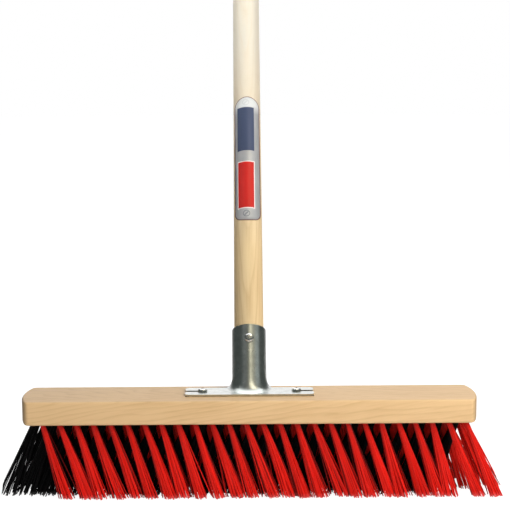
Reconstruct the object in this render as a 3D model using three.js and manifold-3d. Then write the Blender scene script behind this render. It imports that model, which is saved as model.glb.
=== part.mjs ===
// A street push broom: a bowed-end wooden head drilled for five rows of tufts, a pressed
// steel socket screwed to its top, and a straight wooden stick held in the socket by a screw.
//
// Millimetres, +Z up, +X along the head. The tuft tips stand on z = 0 and the head is centred
// over the origin. The stick leans back, towards +Y, so the front of the broom faces -Y.

import * as THREE from 'three';
import { mergeVertices } from 'three/addons/utils/BufferGeometryUtils.js';
import Module from 'manifold-3d';

const wasm = await Module();
wasm.setup();

// ---------------------------------------------------------------- driving dimensions

// Wooden head
const headLength = 420;
const headDepth = 60;
const headThickness = 22;
const endBow = 5.5; // how far the middle of each end stands out past its corners
const headCornerRadius = 5.5;
const headEdgeRadius = 2;
const bristleReach = 70; // underside of the head above the tuft tips

// Tufts
const rowCount = 5;
const tuftsPerRow = 26; // in a full row
const frontShift = 3.9; // middle of the front row to the right of the head's middle
const endMargin = 12.35; // from the end of the head to the middle of the nearest hole
const sideMargin = 9.6; // from the side of the head to the middle of the outer holes
// The rows from the front: how many tufts each is short of a full row, and how far its middle
// stands to the right of the front row's, as a share of the pitch between two tufts.
const rowPlan = [
  { short: 0, step: 0 },
  { short: 0, step: -0.38 },
  { short: 1, step: 0.18 },
  { short: 1, step: -0.25 },
  { short: 0, step: -0.13 },
];
const tuftRadius = 3.1; // where the tuft is tight in its hole
const holeFloor = 10; // wood left above the tuft holes
const redLean = THREE.MathUtils.degToRad(18);
const blackLean = THREE.MathUtils.degToRad(20);
const redEndLean = THREE.MathUtils.degToRad(24); // the last clump of a red row
const blackEndLean = THREE.MathUtils.degToRad(21);
const rowSplay = THREE.MathUtils.degToRad(2.6); // added from row to row, front to back
const clumpSize = 3; // neighbouring tufts whose fanned tips run together
const clumpPullLength = 0.9; // how much closer than their holes the tips of a clump stand
const tipOverlap = 0.4; // how far each tip of a clump runs into the next
const tipRowGap = 2; // left between the tips of neighbouring rows
const fanHeight = 30; // above the tips, where a tuft has half of its spread

// Steel socket: a strip that carries a rolled tube
const sheet = 1.8;
const stripLength = 119;
const stripWidth = 27;
const stripOffset = 2; // middle of the strip behind the middle of the head
const stripCornerRadius = 4;
const slotLength = 16; // from each end of the strip in to its screw
const tubeLength = 60.5; // along the stick, from the top of the head to the rim
const flareWidth = 5; // the foot of the tube spreads this far over the strip
const flareHeight = 10;
const footMargin = 0.3; // of strip in front of the flared foot
const seamWidth = 2; // open seam at the back of the rolled tube

// Wooden stick
const stickTilt = THREE.MathUtils.degToRad(36);
const stickRadius = 14;
const stickLength = 1400;
const stickDomeHeight = 8;

// Screws
const screwHeadRadius = 4.4;
const screwHeadHeight = 2.6;
const screwShankRadius = 2;
const screwPointLength = 3;
const screwPointGap = 1.1; // between the points of the strip screws and the tufts' level
const stickScrewLength = 15;
const stickScrewDrop = 14.5; // the stick's screw is this far below the tube's rim
const recessWidth = 0.9;
const recessLength = 4.6;
const recessDepth = 1.5;

// Foil label on the front of the stick
const labelStart = 174; // along the stick, from the top of the head
const labelLength = 146;
const labelWrap = THREE.MathUtils.degToRad(126); // share of the stick that it covers
const labelThickness = 0.3;
const labelCornerRadius = 5; // at the lower end; the upper end is a full round

// Clearances
const tuftClearance = 0.3;
const seatGap = 0.3;
const screwClearance = 0.3;
const stickClearance = 0.3;
const slotClearance = 0.5;

// Facets
const roundFacets = 56;
const screwFacets = 20;
const tuftSides = 8;
const labelFacets = 84;
const filletSteps = 4; // along each rounded edge of the head
const arcSteps = 7; // along each arc of the head and the strip
const flareSteps = 8;
const cutMargin = 1; // how far a cutter runs past the face that it opens

// ---------------------------------------------------------------- worked-out places

const headBottom = bristleReach;
const headTop = headBottom + headThickness;
const stripTop = headTop + sheet;
const stripFront = stripOffset - stripWidth / 2;
const stripBack = stripOffset + stripWidth / 2;

const tubeInnerRadius = stickRadius + stickClearance;
const tubeOuterRadius = tubeInnerRadius + sheet;
// Where the stick's axis meets the head's top, behind the middle of the head.
const tubeOffset = stripFront + footMargin + flareWidth + tubeOuterRadius / Math.cos(stickTilt);
const stickScrewHeight = tubeLength - stickScrewDrop; // along the stick
const stripScrewSpacing = stripLength - 2 * slotLength;
const stripScrewLength = sheet + seatGap + holeFloor - screwPointGap;

const tuftPitch = (headLength / 2 - endMargin - frontShift) / ((tuftsPerRow - 1) / 2);
const rowPitch = (headDepth - 2 * sideMargin) / (rowCount - 1);
const tipRowPitch = rowPitch + bristleReach * Math.tan(rowSplay);
const tipHalfWidth = (tuftPitch - clumpPullLength) / 2 + tipOverlap;
const tipHalfThickness = (tipRowPitch - tipRowGap) / 2;
const tuftDepth = headThickness - holeFloor;
const holeRadius = tuftRadius + tuftClearance / Math.cos(Math.PI / tuftSides);
const shankHoleRadius = screwShankRadius + screwClearance;

// ---------------------------------------------------------------- materials

const material = (color, roughness, metalness = 0) =>
  new THREE.MeshStandardMaterial({ color, roughness, metalness });

const headWood = material(0xdcb98c, 0.6);
const stickWood = material(0xe3c295, 0.55);
const galvanised = material(0x9aa3a2, 0.35, 1);
const screwSteel = material(0xb9bdba, 0.3, 1);
const foil = material(0xb3b5b2, 0.4, 0.6);
const redPlastic = material(0xe21f16, 0.35);
const blackPlastic = material(0x0a0a0a, 0.35);

// ---------------------------------------------------------------- solids and meshes

const toSolid = (geometry) => {
  const bare = geometry.clone();
  bare.deleteAttribute('normal');
  bare.deleteAttribute('uv');
  const merged = mergeVertices(bare, 1e-4);
  return new wasm.Manifold(new wasm.Mesh({
    numProp: 3,
    vertProperties: new Float32Array(merged.attributes.position.array),
    triVerts: new Uint32Array(merged.index.array),
  }));
};

const toGeometry = (solid) => {
  const { vertProperties, triVerts } = solid.getMesh();
  const geometry = new THREE.BufferGeometry();
  geometry.setAttribute('position', new THREE.BufferAttribute(vertProperties, 3));
  geometry.setIndex(new THREE.BufferAttribute(triVerts, 1));
  geometry.computeVertexNormals();
  return geometry;
};

const joined = (solids) => solids.reduce((whole, solid) => whole.add(solid));

const addMesh = (group, name, solid, finish) => {
  const mesh = new THREE.Mesh(toGeometry(solid), finish);
  mesh.name = name;
  group.add(mesh);
};

// A closed solid through horizontal rings, each an array of points with the same count.
const loft = (rings) => {
  const sides = rings[0].length;
  const positions = rings.flat().flatMap(({ x, y, z }) => [x, y, z]);
  const faces = [];
  for (let ring = 1; ring < rings.length; ring += 1) {
    for (let side = 0; side < sides; side += 1) {
      const next = (side + 1) % sides;
      const [a, b] = [(ring - 1) * sides + side, (ring - 1) * sides + next];
      const [c, d] = [ring * sides + side, ring * sides + next];
      faces.push(a, b, d, a, d, c);
    }
  }
  for (let side = 1; side < sides - 1; side += 1) {
    const top = (rings.length - 1) * sides;
    faces.push(0, side + 1, side, top, top + side, top + side + 1);
  }
  const geometry = new THREE.BufferGeometry();
  geometry.setAttribute('position', new THREE.Float32BufferAttribute(positions, 3));
  geometry.setIndex(faces);
  return toSolid(geometry);
};

// An oval ring at one height, seen from above.
const oval = (centreX, centreY, z, radiusX, radiusY, sides) => {
  const ring = [];
  for (let side = 0; side < sides; side += 1) {
    const angle = (side / sides) * 2 * Math.PI;
    const x = centreX + radiusX * Math.cos(angle);
    ring.push(new THREE.Vector3(x, centreY + radiusY * Math.sin(angle), z));
  }
  return ring;
};

const box = (width, depth, height, x, y, z) =>
  toSolid(new THREE.BoxGeometry(width, depth, height).translate(x, y, z));

// A rod along +Z, from z = start to z = end.
const rod = (radius, start, end, facets) => {
  const cylinder = new THREE.CylinderGeometry(radius, radius, end - start, facets);
  return toSolid(cylinder.rotateX(Math.PI / 2).translate(0, 0, (start + end) / 2));
};

// The stick's own axes: its z runs up the stick from the head's top, its -y faces the front.
const stickPlace = new THREE.Matrix4()
  .makeTranslation(0, tubeOffset, headTop)
  .multiply(new THREE.Matrix4().makeRotationX(-stickTilt));

// From the stick's own axes to a line that leaves its front square to it, at one height.
const fromStickFront = (height, radius) => new THREE.Matrix4()
  .makeTranslation(0, -radius, height)
  .multiply(new THREE.Matrix4().makeRotationX(Math.PI / 2));

const placed = (solid, matrix) => {
  const geometry = toGeometry(solid);
  return toSolid(geometry.applyMatrix4(matrix));
};

// ---------------------------------------------------------------- tufts

const isRed = (row) => row % 2 === 0;
const rowSide = (row) => (isRed(row) ? 1 : -1);
const rowMiddle = (rowCount - 1) / 2;
const rowY = (row) => (row - rowMiddle) * rowPitch;

// Tufts of a row are counted from the end that they lean away from, so that the odd clump
// is the one at the end that they lean towards. Red rows lean to +X and black rows to -X.
const planOf = (row) => rowPlan[row % rowPlan.length];
const tuftsIn = (row) => tuftsPerRow - planOf(row).short;
const clumpOf = (index) => Math.floor(index / clumpSize);
const clumpsIn = (row) => clumpOf(tuftsIn(row) - 1) + 1;

const clumpIndices = (row, clump) => {
  const first = clump * clumpSize;
  const count = Math.min(clumpSize, tuftsIn(row) - first);
  return Array.from({ length: count }, (_, i) => first + i);
};

const tuftLine = (row, index) => {
  const side = rowSide(row);
  const lastClump = clumpOf(index) === clumpsIn(row) - 1;
  const usualLean = isRed(row) ? redLean : blackLean;
  const endLean = isRed(row) ? redEndLean : blackEndLean;
  const lean = lastClump ? endLean : usualLean;
  const splay = (row - rowMiddle) * rowSplay;
  const middle = frontShift + planOf(row).step * tuftPitch;
  const along = side * (index - (tuftsIn(row) - 1) / 2) * tuftPitch;
  const root = new THREE.Vector3(middle + along, rowY(row), headBottom);
  const slope = new THREE.Vector3(side * Math.tan(lean), Math.tan(splay), -1);
  const members = clumpIndices(row, clumpOf(index));
  const fromMiddle = index - (members[0] + members[members.length - 1]) / 2;
  return { root, slope, tipShift: -side * fromMiddle * clumpPullLength };
};

// One ring of a tuft, a given distance below the underside of the head (or above it).
const tuftRing = ({ root, slope, tipShift }, below, radiusX, radiusY) => {
  const share = Math.max(below, 0) / bristleReach;
  const centre = root.clone().addScaledVector(slope, below);
  return oval(centre.x + share * tipShift, centre.y, centre.z, radiusX, radiusY, tuftSides);
};

const tuftSolid = (line) => {
  const halfway = bristleReach - fanHeight;
  return loft([
    tuftRing(line, bristleReach, tipHalfWidth, tipHalfThickness),
    tuftRing(line, halfway, (tuftRadius + tipHalfWidth) / 2, (tuftRadius + tipHalfThickness) / 2),
    tuftRing(line, 0, tuftRadius, tuftRadius),
    tuftRing(line, -tuftDepth, tuftRadius, tuftRadius),
  ]);
};

const tuftHole = (line) => loft([
  tuftRing({ ...line, tipShift: 0 }, cutMargin, holeRadius, holeRadius),
  tuftRing(line, -tuftDepth - tuftClearance, holeRadius, holeRadius),
]);

const clumpSolid = (row, clump) =>
  joined(clumpIndices(row, clump).map((index) => tuftSolid(tuftLine(row, index))));

// ---------------------------------------------------------------- head

// Long straight sides, ends bowed out on an arc, and a small fillet at each corner.
const headOutline = () => {
  const halfLength = headLength / 2;
  const halfDepth = headDepth / 2;
  const bowRadius = (halfDepth ** 2 + endBow ** 2) / (2 * endBow);
  const bowCentre = halfLength - bowRadius;
  const cornerY = halfDepth - headCornerRadius;
  const toCorner = bowRadius - headCornerRadius;
  const cornerX = bowCentre + Math.sqrt(toCorner ** 2 - cornerY ** 2);
  const bowAngle = Math.asin(cornerY / toCorner);
  const outline = new THREE.Shape();
  outline.moveTo(-cornerX, -halfDepth);
  outline.absarc(cornerX, -cornerY, headCornerRadius, -Math.PI / 2, -bowAngle, false);
  outline.absarc(bowCentre, 0, bowRadius, -bowAngle, bowAngle, false);
  outline.absarc(cornerX, cornerY, headCornerRadius, bowAngle, Math.PI / 2, false);
  outline.absarc(-cornerX, cornerY, headCornerRadius, Math.PI / 2, Math.PI - bowAngle, false);
  outline.absarc(-bowCentre, 0, bowRadius, Math.PI - bowAngle, Math.PI + bowAngle, false);
  outline.absarc(-cornerX, -cornerY, headCornerRadius, Math.PI + bowAngle, 1.5 * Math.PI, false);
  return outline;
};

const stripScrewPlaces = [-1, 1].map((end) =>
  new THREE.Vector3((end * stripScrewSpacing) / 2, stripOffset, stripTop + seatGap));

const headSolid = () => {
  const blank = toSolid(new THREE.ExtrudeGeometry(headOutline(), {
    depth: headThickness - 2 * headEdgeRadius,
    bevelSize: headEdgeRadius,
    bevelOffset: -headEdgeRadius,
    bevelThickness: headEdgeRadius,
    bevelSegments: filletSteps,
    curveSegments: arcSteps,
  }).translate(0, 0, headBottom + headEdgeRadius));
  const holes = [];
  for (let row = 0; row < rowCount; row += 1) {
    for (let index = 0; index < tuftsIn(row); index += 1) {
      holes.push(tuftHole(tuftLine(row, index)));
    }
  }
  const pilots = stripScrewPlaces.map(({ x, y, z }) => {
    const point = z - stripScrewLength - screwClearance;
    return rod(shankHoleRadius, point, headTop + cutMargin, screwFacets).translate([x, y, 0]);
  });
  return blank.subtract(joined(holes)).subtract(joined(pilots));
};

// ---------------------------------------------------------------- socket

// The strip has rounded corners, and a slot open at each end that runs in to its screw.
const stripOutline = () => {
  const halfLength = stripLength / 2;
  const halfWidth = stripWidth / 2;
  const radius = stripCornerRadius;
  const slot = screwShankRadius + slotClearance;
  const screwX = stripScrewSpacing / 2;
  const outline = new THREE.Shape();
  outline.moveTo(-halfLength + radius, -halfWidth);
  outline.absarc(halfLength - radius, -halfWidth + radius, radius, -Math.PI / 2, 0, false);
  outline.lineTo(halfLength, -slot);
  outline.absarc(screwX, 0, slot, -Math.PI / 2, Math.PI / 2, true);
  outline.lineTo(halfLength, slot);
  outline.absarc(halfLength - radius, halfWidth - radius, radius, 0, Math.PI / 2, false);
  outline.absarc(-halfLength + radius, halfWidth - radius, radius, Math.PI / 2, Math.PI, false);
  outline.lineTo(-halfLength, slot);
  outline.absarc(-screwX, 0, slot, Math.PI / 2, -Math.PI / 2, true);
  outline.lineTo(-halfLength, -slot);
  outline.absarc(-halfLength + radius, -halfWidth + radius, radius, Math.PI, 1.5 * Math.PI, false);
  return outline;
};

// The tube's foot: level slices of the leaning tube, each spread a little more than the one
// above it, cut off where the strip ends at the back.
const flareSolid = () => {
  const rings = [];
  for (let step = 0; step <= flareSteps; step += 1) {
    const up = step / flareSteps;
    const rise = sheet + up * flareHeight;
    const spread = flareWidth * (1 - up) ** 2;
    const centreY = tubeOffset + rise * Math.tan(stickTilt);
    const radiusY = tubeOuterRadius / Math.cos(stickTilt) + spread;
    rings.push(oval(0, centreY, headTop + rise, tubeOuterRadius + spread, radiusY, roundFacets));
  }
  const foot = rings[0].map(({ x, y }) => new THREE.Vector3(x, y, headTop));
  const reach = 4 * tubeOuterRadius;
  const behind = box(reach, reach, reach, 0, stripBack + reach / 2, headTop);
  return loft([foot, ...rings]).subtract(behind);
};

const socketSolid = () => {
  const strip = toSolid(new THREE.ExtrudeGeometry(stripOutline(), {
    depth: sheet,
    bevelEnabled: false,
    curveSegments: arcSteps,
  }).translate(0, stripOffset, headTop));
  const foot = tubeOuterRadius * Math.tan(stickTilt) + cutMargin;
  const tube = placed(rod(tubeOuterRadius, -foot, tubeLength, roundFacets), stickPlace);
  const bore = placed(
    rod(tubeInnerRadius, -2 * foot, tubeLength + cutMargin, roundFacets),
    stickPlace,
  );
  const seam = placed(
    box(seamWidth, tubeOuterRadius, 2 * stickLength, 0, tubeOuterRadius, 0),
    stickPlace,
  );
  const screwHole = placed(
    rod(shankHoleRadius, -tubeOuterRadius, tubeOuterRadius, screwFacets),
    stickPlace.clone().multiply(fromStickFront(stickScrewHeight, tubeOuterRadius)),
  );
  const reach = 6 * tubeOuterRadius;
  const below = box(reach, reach, reach, 0, tubeOffset, headTop - reach / 2);
  return joined([strip, tube.subtract(below), flareSolid()])
    .subtract(bore)
    .subtract(seam)
    .subtract(screwHole);
};

// ---------------------------------------------------------------- stick

// The square-cut lower end stands clear of the head, and the upper end is domed.
const stickFoot = (stickRadius * Math.sin(stickTilt) + seatGap) / Math.cos(stickTilt);

const stickSolid = () => {
  const shoulder = stickLength - stickDomeHeight;
  const profile = [new THREE.Vector2(0, stickFoot), new THREE.Vector2(stickRadius, stickFoot)];
  const steps = 5;
  for (let step = 0; step < steps; step += 1) {
    const angle = (step / steps) * (Math.PI / 2);
    const height = shoulder + stickDomeHeight * Math.sin(angle);
    profile.push(new THREE.Vector2(stickRadius * Math.cos(angle), height));
  }
  profile.push(new THREE.Vector2(0, stickLength));
  const turned = new THREE.LatheGeometry(profile, roundFacets).rotateX(Math.PI / 2);
  const point = stickScrewLength + screwClearance;
  const pilot = placed(
    rod(shankHoleRadius, -point, cutMargin + sheet, screwFacets),
    fromStickFront(stickScrewHeight, tubeOuterRadius + seatGap),
  );
  return toSolid(turned).subtract(pilot);
};

// ---------------------------------------------------------------- screws

// A domed head above z = 0 with a cross recess, and a pointed shank below it.
const screwSolid = (length) => {
  const profile = [
    new THREE.Vector2(0, -length),
    new THREE.Vector2(screwShankRadius, -length + screwPointLength),
    new THREE.Vector2(screwShankRadius, 0),
    new THREE.Vector2(screwHeadRadius, 0),
  ];
  const steps = 4;
  for (let step = 1; step < steps; step += 1) {
    const angle = (step / steps) * (Math.PI / 2);
    const height = screwHeadHeight * Math.sin(angle);
    profile.push(new THREE.Vector2(screwHeadRadius * Math.cos(angle), height));
  }
  profile.push(new THREE.Vector2(0, screwHeadHeight));
  const turned = new THREE.LatheGeometry(profile, screwFacets).rotateX(Math.PI / 2);
  const [width, reach] = [recessWidth, recessLength];
  const deep = 2 * recessDepth;
  const across = box(reach, width, deep, 0, 0, screwHeadHeight);
  const along = box(width, reach, deep, 0, 0, screwHeadHeight);
  return toSolid(turned).subtract(across.add(along));
};

// ---------------------------------------------------------------- label

// A thin shell round the front of the stick, cut to an outline with a round top.
const labelSolid = () => {
  const inner = stickRadius + seatGap;
  const outer = inner + labelThickness;
  const halfWidth = outer * Math.sin(labelWrap / 2);
  const top = labelStart + labelLength;
  const outline = new THREE.Shape();
  const low = labelCornerRadius;
  outline.moveTo(-halfWidth + low, labelStart);
  outline.absarc(halfWidth - low, labelStart + low, low, -Math.PI / 2, 0, false);
  outline.absarc(0, top - halfWidth, halfWidth, 0, Math.PI, false);
  outline.absarc(-halfWidth + low, labelStart + low, low, Math.PI, 1.5 * Math.PI, false);
  const shell = rod(outer, labelStart, top, labelFacets)
    .subtract(rod(inner, labelStart - cutMargin, top + cutMargin, labelFacets));
  const prism = toSolid(new THREE.ExtrudeGeometry(outline, {
    depth: 2 * outer,
    bevelEnabled: false,
    curveSegments: arcSteps,
  }).rotateX(Math.PI / 2));
  return shell.intersect(prism);
};

// ---------------------------------------------------------------- assembly

const broom = new THREE.Group();

addMesh(broom, 'head_block', headSolid(), headWood);
addMesh(broom, 'stick_socket', socketSolid(), galvanised);

['left', 'right'].forEach((end, i) => {
  const { x, y, z } = stripScrewPlaces[i];
  const screw = screwSolid(stripScrewLength).translate([x, y, z]);
  addMesh(broom, `strip_screw_${end}`, screw, screwSteel);
});

const stickGroup = new THREE.Group();
stickGroup.applyMatrix4(stickPlace);
broom.add(stickGroup);
addMesh(stickGroup, 'stick', stickSolid(), stickWood);
addMesh(stickGroup, 'stick_label', labelSolid(), foil);

const stickScrewGroup = new THREE.Group();
stickScrewGroup.applyMatrix4(fromStickFront(stickScrewHeight, tubeOuterRadius + seatGap));
stickGroup.add(stickScrewGroup);
addMesh(stickScrewGroup, 'stick_screw', screwSolid(stickScrewLength), screwSteel);

for (let row = 0; row < rowCount; row += 1) {
  const colour = isRed(row) ? 'red' : 'black';
  const finish = isRed(row) ? redPlastic : blackPlastic;
  for (let clump = 0; clump < clumpsIn(row); clump += 1) {
    const name = `${colour}_tufts_row${row + 1}_${clump + 1}`;
    addMesh(broom, name, clumpSolid(row, clump), finish);
  }
}

export default broom;
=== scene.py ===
# %% [markdown]
# # A push broom
#
# The broom is a beech head with five rows of coarse plastic bristles, a zinc-plated steel
# socket screwed to its top, and a long wooden stick with a foil label. The engineering model
# comes in as a fixed frame. Each piece of it is dressed here with a finer piece of its own,
# in metres, with +Z up, +X along the head and -Y towards the front.

import math
import random

import bmesh
import bpy
from mathutils import Matrix, Vector


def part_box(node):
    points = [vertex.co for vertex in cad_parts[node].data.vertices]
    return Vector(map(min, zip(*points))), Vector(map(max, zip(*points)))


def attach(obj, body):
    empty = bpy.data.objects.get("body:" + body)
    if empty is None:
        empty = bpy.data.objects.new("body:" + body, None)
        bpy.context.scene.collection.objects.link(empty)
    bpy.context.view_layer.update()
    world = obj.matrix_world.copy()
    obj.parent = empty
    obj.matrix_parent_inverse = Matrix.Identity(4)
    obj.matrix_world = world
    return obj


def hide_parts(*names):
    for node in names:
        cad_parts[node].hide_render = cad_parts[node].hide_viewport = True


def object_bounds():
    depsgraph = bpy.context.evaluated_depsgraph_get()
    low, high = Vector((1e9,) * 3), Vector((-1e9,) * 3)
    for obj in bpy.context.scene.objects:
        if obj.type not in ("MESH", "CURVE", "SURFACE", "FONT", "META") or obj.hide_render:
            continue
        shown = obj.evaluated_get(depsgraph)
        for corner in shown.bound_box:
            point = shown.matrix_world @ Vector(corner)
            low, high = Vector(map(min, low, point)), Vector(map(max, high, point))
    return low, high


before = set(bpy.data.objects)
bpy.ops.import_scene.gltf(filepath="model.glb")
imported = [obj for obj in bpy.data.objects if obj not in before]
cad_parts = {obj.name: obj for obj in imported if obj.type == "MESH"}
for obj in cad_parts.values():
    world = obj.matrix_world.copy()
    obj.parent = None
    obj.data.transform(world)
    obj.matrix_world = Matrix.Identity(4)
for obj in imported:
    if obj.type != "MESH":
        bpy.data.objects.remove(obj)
cad_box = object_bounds()
scene = bpy.context.scene
MM = 0.001
print("nodes in the frame:", len(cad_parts))

# %% [markdown]
# ## Where things are
#
# A finer piece has to sit exactly where its plain one does, so the main places are read from
# the nodes' boxes instead of being typed again. The stick leans back, and most pieces above
# the head are turned about its axis, so one matrix holds that lean: its Z runs up the stick
# and its -Y faces the front.

# %% Places taken from the frame
head_low, head_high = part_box("head_block")
socket_low, socket_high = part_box("stick_socket")
stick_low, stick_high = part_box("stick")
HEAD_TOP, HEAD_BOTTOM = head_high.z, head_low.z
HEAD_DEPTH = head_high.y - head_low.y
LEAN = math.radians(36)
STICK_RADIUS = (stick_high.x - stick_low.x) / 2
STICK_LENGTH, STICK_DOME = 1400 * MM, 8 * MM
TUBE_Y = 13.7014 * MM  # where the stick's axis meets the top of the head
up_the_stick = Matrix.Translation((0, TUBE_Y, HEAD_TOP)) @ Matrix.Rotation(-LEAN, 4, "X")
print("head top at", round(HEAD_TOP, 4), "m; stick radius", round(STICK_RADIUS, 4), "m")

# %% [markdown]
# ## Camera
#
# A long lens stands well in front of the broom, a little above the head, and looks slightly
# down. A short lens nearby would bend the head and spread the rows of bristles. This one is
# long enough that the head shows almost no perspective along its length. Yaw, pitch and roll
# are turned into three axes, because that keeps the roll apart from the aim.

# %% Make the camera
CAMERA_PLACE = Vector((-0.0084, -1.2883, 0.4092))
camera_data = bpy.data.cameras.new("camera")
camera_data.sensor_width = 36
camera_data.lens = 100.5
camera_data.clip_end = 50
camera = bpy.data.objects.new("camera", camera_data)
scene.collection.objects.link(camera)
yaw, pitch, roll = math.radians(-0.623), math.radians(8.286), math.radians(-0.249)
looking = Vector((-math.sin(yaw) * math.cos(pitch), math.cos(yaw) * math.cos(pitch), -math.sin(pitch)))
level = Vector((math.cos(yaw), math.sin(yaw), 0))
upward = level.cross(looking)
right = math.cos(roll) * level + math.sin(roll) * upward
top = -math.sin(roll) * level + math.cos(roll) * upward
turn = Matrix((right, top, -looking)).transposed().to_4x4()
camera.matrix_world = Matrix.Translation(CAMERA_PLACE) @ turn
scene.camera = camera
print("camera", round(-CAMERA_PLACE.y, 2), "m in front, lens", round(camera_data.lens, 1), "mm")

# %% [markdown]
# ## Floor
#
# The broom stands on white paper that shows no edge, only the broom's own soft shadow. More
# light on the paper would whiten it, but it would also bleach the broom. So its whiteness
# comes from what the camera sees of it: a glow, plus a dark matt share that still takes
# shadows. Every other ray meets plain light grey paper.
#
# A material is a tree of nodes. Most nodes are made the same way: add one, set or link its
# inputs, use its outputs. Three small functions say that once.

# %% Helpers for a material's nodes
def new_material(name):
    """An empty node material, with its tree and its output node."""
    material = bpy.data.materials.new(name)
    material.use_nodes = True
    tree = material.node_tree
    tree.nodes.clear()
    return material, tree, tree.nodes.new("ShaderNodeOutputMaterial")


def feed(tree, node, values):
    """Feeds inputs, by name or number, with a constant or with another node's output."""
    for key, value in values.items():
        if isinstance(value, bpy.types.NodeSocket):
            tree.links.new(value, node.inputs[key])
        else:
            node.inputs[key].default_value = value


def add_node(tree, kind, values=None):
    """Adds a node, feeds its inputs and returns its outputs."""
    node = tree.nodes.new(kind)
    feed(tree, node, values or {})
    return node.outputs


# %% Lay the floor
def mesh_object(bm, name, material=None):
    """Writes a bmesh out as an object of the scene."""
    mesh = bpy.data.meshes.new(name)
    bm.to_mesh(mesh)
    bm.free()
    if material:
        mesh.materials.append(material)
    made = bpy.data.objects.new(name, mesh)
    scene.collection.objects.link(made)
    return made


FLOOR_RADIUS, FLOOR_BEHIND, FLOOR_DROP = 6, 1.5, 0.4 * MM
floor_material, tree, output = new_material("white_floor")
is_camera = add_node(tree, "ShaderNodeLightPath")["Is Camera Ray"]
paper = add_node(tree, "ShaderNodeBsdfDiffuse", {"Color": (0.70, 0.70, 0.70, 1)})[0]
shade_keeper = add_node(tree, "ShaderNodeBsdfDiffuse", {"Color": (0.30, 0.30, 0.30, 1)})[0]
glow = add_node(tree, "ShaderNodeEmission", {"Strength": 0.955})[0]
seen = add_node(tree, "ShaderNodeAddShader", {0: shade_keeper, 1: glow})[0]
chosen = add_node(tree, "ShaderNodeMixShader", {0: is_camera, 1: paper, 2: seen})[0]
feed(tree, output, {"Surface": chosen})

bm = bmesh.new()
bmesh.ops.create_circle(bm, cap_ends=True, radius=FLOOR_RADIUS, segments=64)
bmesh.ops.translate(bm, verts=bm.verts, vec=(0, FLOOR_BEHIND, -FLOOR_DROP))
floor = mesh_object(bm, "floor", floor_material)
print("floor", 2 * FLOOR_RADIUS, "m across")

# %% [markdown]
# ## World
#
# The world stands for everything round the broom. It is white to the eye, in reflections and
# through glass. As light it would be far too strong and flat, so there it is only a weak soft
# grey, and the lamps shape the broom. Light Path tells the two kinds of ray apart.

# %% White backdrop, soft grey fill
def math_node(tree, operation, a, b=None, c=None, clamp=False):
    """The result of a Math node; each input is a number or another node's output."""
    node = tree.nodes.new("ShaderNodeMath")
    node.operation = operation
    node.use_clamp = clamp
    feed(tree, node, {key: value for key, value in enumerate((a, b, c)) if value is not None})
    return node.outputs[0]


FILL = 0.16
world = bpy.data.worlds.new("studio")
scene.world = world
world.use_nodes = True
tree = world.node_tree
tree.nodes.clear()
rays = add_node(tree, "ShaderNodeLightPath")
fill = add_node(tree, "ShaderNodeBackground", {"Color": (1.0, 0.985, 0.97, 1), "Strength": FILL})[0]
white = add_node(tree, "ShaderNodeBackground", {"Color": (1, 1, 1, 1), "Strength": 1.0})[0]
shown = math_node(tree, "ADD", rays["Is Camera Ray"], rays["Is Glossy Ray"])
shown = math_node(tree, "ADD", shown, rays["Is Transmission Ray"], clamp=True)
viewed = add_node(tree, "ShaderNodeMixShader", {0: shown, 1: fill, 2: white})[0]
add_node(tree, "ShaderNodeOutputWorld", {"Surface": viewed})
scene.view_settings.view_transform = "Standard"
print("backdrop white, fill light", FILL)

# %% [markdown]
# ## Lamps
#
# The broom is lit the way small shops light tools: a broad soft light from the front right,
# a weaker one from the left, a low one for the bristles and a soft one overhead. Two narrow
# ones are aimed at the leaning stick. Area lamps are used, because their size softens the
# edges of shadows. They stay out of reflections, which the cards in the next step draw.

# %% Hang the lamps
def lamp(name, place, aim, size, watts, colour=(1, 1, 1), glossy=False, diffuse=True, spread=180):
    """A rectangular soft light of the given width and height, turned towards a point."""
    data = bpy.data.lights.new(name, "AREA")
    data.shape = "RECTANGLE"
    data.size, data.size_y = size
    data.energy = watts
    data.color = colour
    data.spread = math.radians(spread)
    made = bpy.data.objects.new(name, data)
    scene.collection.objects.link(made)
    facing = (Vector(aim) - Vector(place)).to_track_quat("-Z", "Y")
    made.matrix_world = Matrix.Translation(place) @ facing.to_matrix().to_4x4()
    made.visible_camera = False
    made.visible_glossy = glossy
    made.visible_diffuse = diffuse


SOCKET_AIM, STICK_AIM = (0, 0, 0.12), (0, 0.37, 0.57)
lamp("front_right", (1.10, -0.95, 1.0), SOCKET_AIM, (0.8, 0.8), 25, (1, 0.975, 0.94))
lamp("front_low", (-0.5, -2.4, 0.18), (0, 0, 0.05), (1.0, 0.3), 6, (1, 0.99, 0.98))
lamp("front_left", (-1.8, -1.9, 0.7), SOCKET_AIM, (1.2, 1.2), 6)
lamp("overhead", (1.5, 0.3, 1.8), SOCKET_AIM, (1.2, 1.2), 12.5, (1, 0.98, 1.0))
lamp("stick_left", (-0.75, -0.45, 1.0), STICK_AIM, (0.4, 0.4), 1.30, spread=50)
lamp("stick_right", (0.85, 0.45, 1.1), STICK_AIM, (0.3, 0.3), 0.12, (1, 0.98, 0.97), spread=50)
print("lamps:", len(bpy.data.lights))

# %% [markdown]
# ## Cards and a tent
#
# Polished steel shows its surroundings, so it needs something to reflect. Cards do that: a
# pale one behind for the strip, a bright one high behind for the foot of the tube, and two
# warm ones high in front, which draw the long soft band down the tube and the brighter spot
# at its foot. Two weak ones stand at the sides. A dim grey tent goes round the front and
# sides and gives the steel its dark sides. It stays open at the back, where the white
# backdrop is. All of them show only in reflections and add no light to the wood.

# %% Set up the cards
def card(name, place, aim, size, radiance, colour=(1, 1, 1)):
    """A lamp whose face has the given brightness and that only glossy surfaces see."""
    watts = radiance * math.pi * size[0] * size[1]
    lamp(name, place, aim, size, watts, colour, glossy=True, diffuse=False)


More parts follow.
